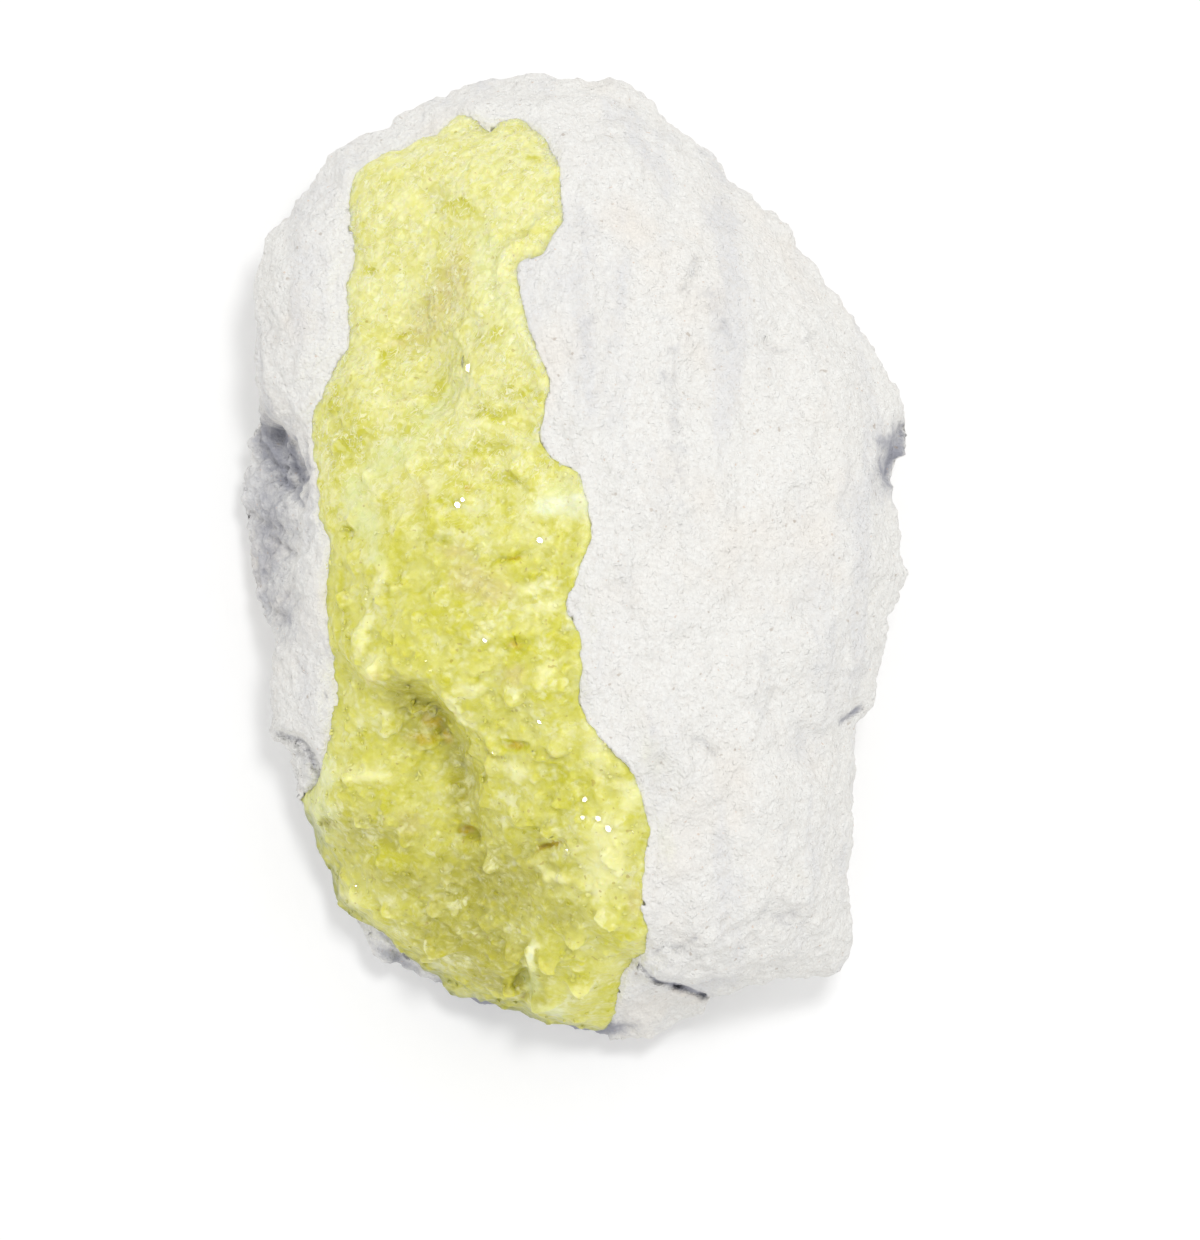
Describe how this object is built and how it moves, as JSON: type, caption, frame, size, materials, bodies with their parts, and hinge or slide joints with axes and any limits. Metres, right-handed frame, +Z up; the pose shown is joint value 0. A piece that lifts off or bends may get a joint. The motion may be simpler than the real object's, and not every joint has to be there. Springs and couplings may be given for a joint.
{
  "type": "native sulfur crystals on matrix",
  "caption": "Palm-sized mineral specimen: a crust of yellow sulfur crystals in a groove across a pale granular stone, lying on its flat broken back.",
  "frame": {"origin": "under the middle of the specimen's box, on the plane that it rests on", "axes": "+Y along the stone's long axis, to the end where the crust is highest in view; +Z up, out of the show face that carries the crust; +X across the stone, from the crust's side to the bare side"},
  "size_m": [0.0624, 0.0904, 0.0346],
  "materials": {
    "matrix": "rough, chalky and granular",
    "sulfur": "resinous, translucent crystals with small bright glints"
  },
  "bodies": {
    "root": {"matrix": "matrix", "sulfur_crust": "sulfur"}
  },
  "joints": []
}
